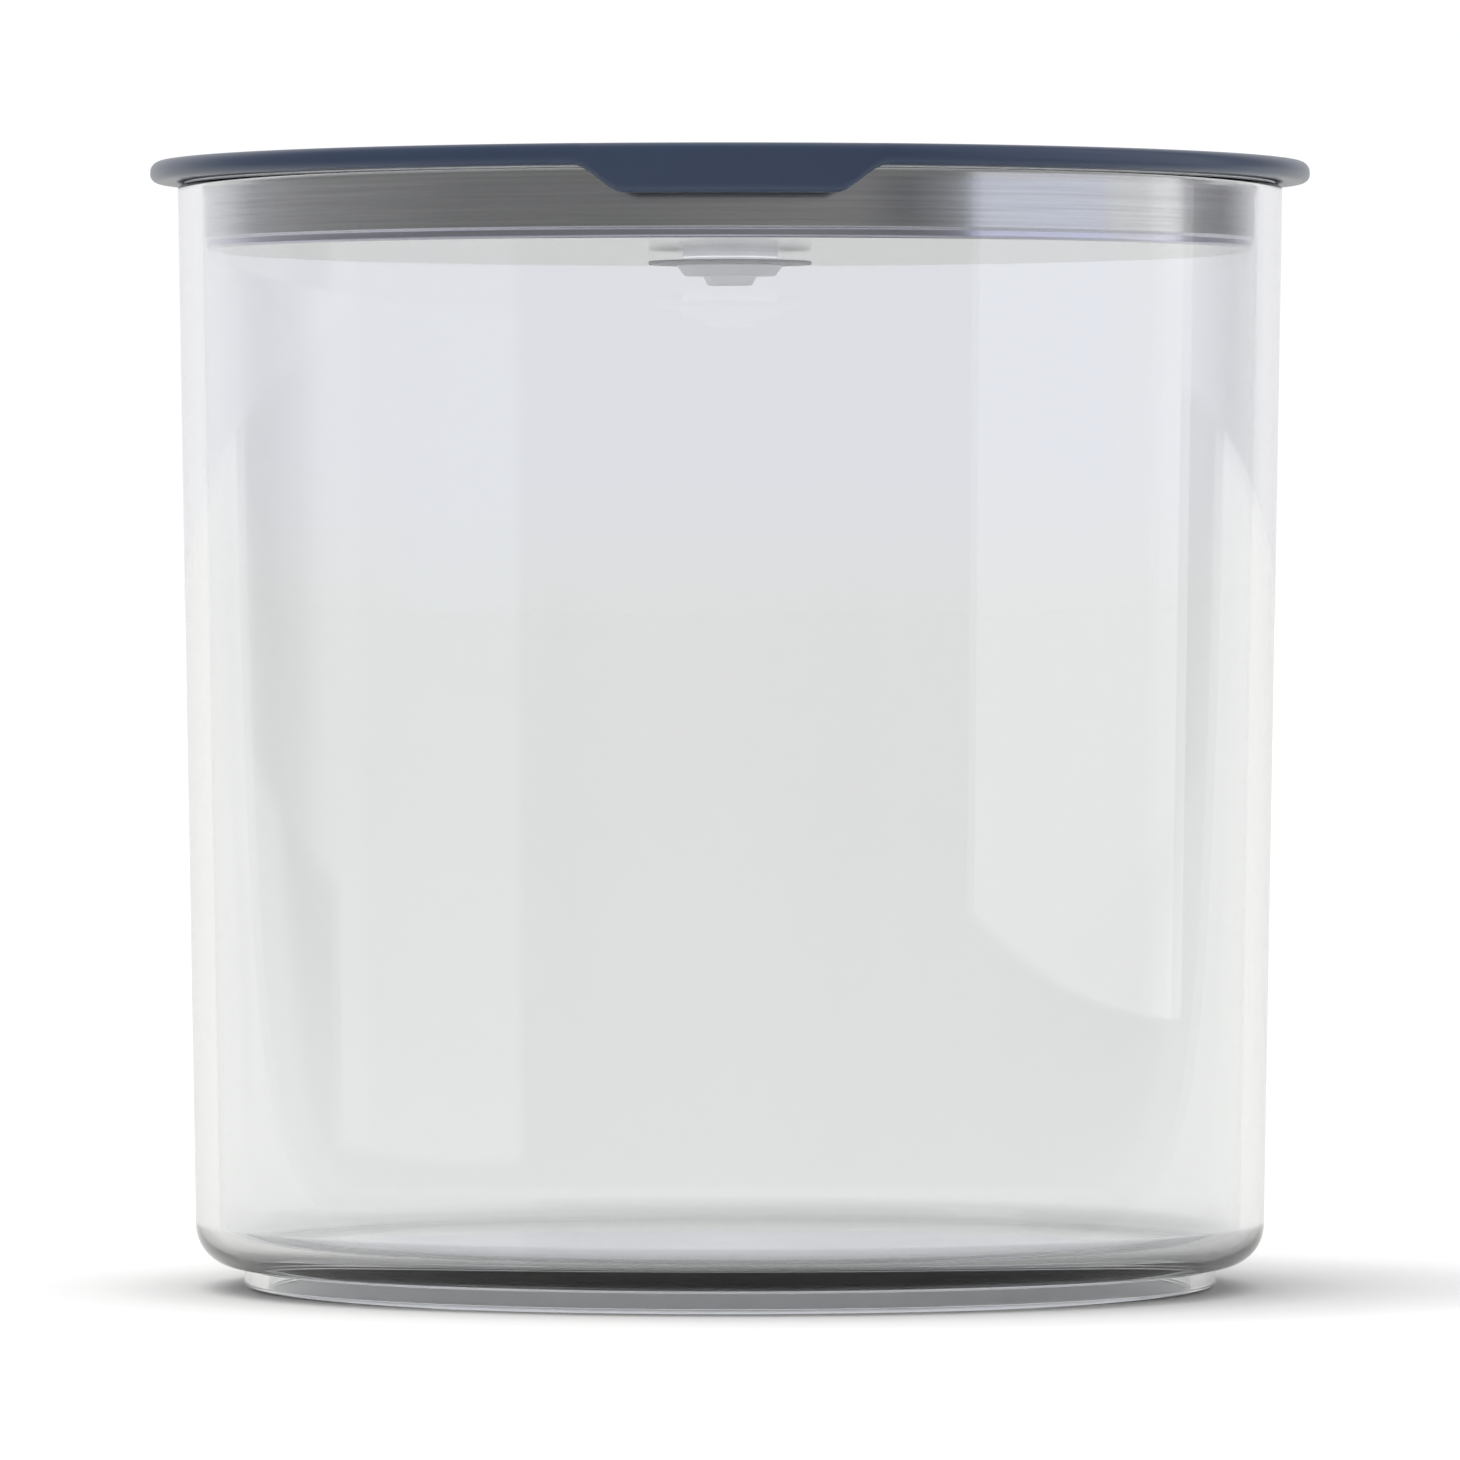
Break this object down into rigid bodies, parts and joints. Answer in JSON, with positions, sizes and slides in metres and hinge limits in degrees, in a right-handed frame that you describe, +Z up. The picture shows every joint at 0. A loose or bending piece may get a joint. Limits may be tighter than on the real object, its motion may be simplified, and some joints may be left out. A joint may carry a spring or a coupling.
{
  "type": "round storage canister with vented lid",
  "caption": "Round clear canister with a press-on navy lid, steel-lined plug, finger tab and push-button vent valve.",
  "frame": {"origin": "centre of the face that the foot ring rests on", "axes": "+Z up along the canister's axis, -Y towards the lid's finger tab, +X to the right when the tab faces the viewer"},
  "size_m": [0.1576, 0.1576, 0.153],
  "materials": {
    "clear_wall": "polished",
    "navy_plastic": "satin",
    "translucent_silicone": "satin",
    "grey_silicone": "satin",
    "grey_plastic": "matte",
    "light_grey_plastic": "satin",
    "brushed_steel_sheet": "satin",
    "steel_wire": "satin"
  },
  "bodies": {
    "canister": {"canister_body": "clear_wall"},
    "lid": {"lid_cover": "navy_plastic", "mouth_seal": "translucent_silicone", "lid_core": "grey_plastic", "steel_liner": "brushed_steel_sheet", "vent_guide": "light_grey_plastic", "guide_washer": "translucent_silicone", "guide_nut": "light_grey_plastic"},
    "vent_valve": {"vent_button": "navy_plastic", "vent_stem": "steel_wire", "vent_spring": "steel_wire", "valve_disc": "grey_silicone", "valve_cap": "light_grey_plastic", "stem_nut": "light_grey_plastic"}
  },
  "joints": [
    {"name": "lid_lift", "type": "slide", "parent": "canister", "child": "lid", "axis": [0, 0, 1], "range_m": [0, 0.15]},
    {"name": "vent_press", "type": "slide", "parent": "lid", "child": "vent_valve", "axis": [0, 0, -1], "range_m": [0, 0.002], "stiffness_N_per_m": 400, "springref_m": -0.003, "deforming": ["vent_spring"]}
  ]
}
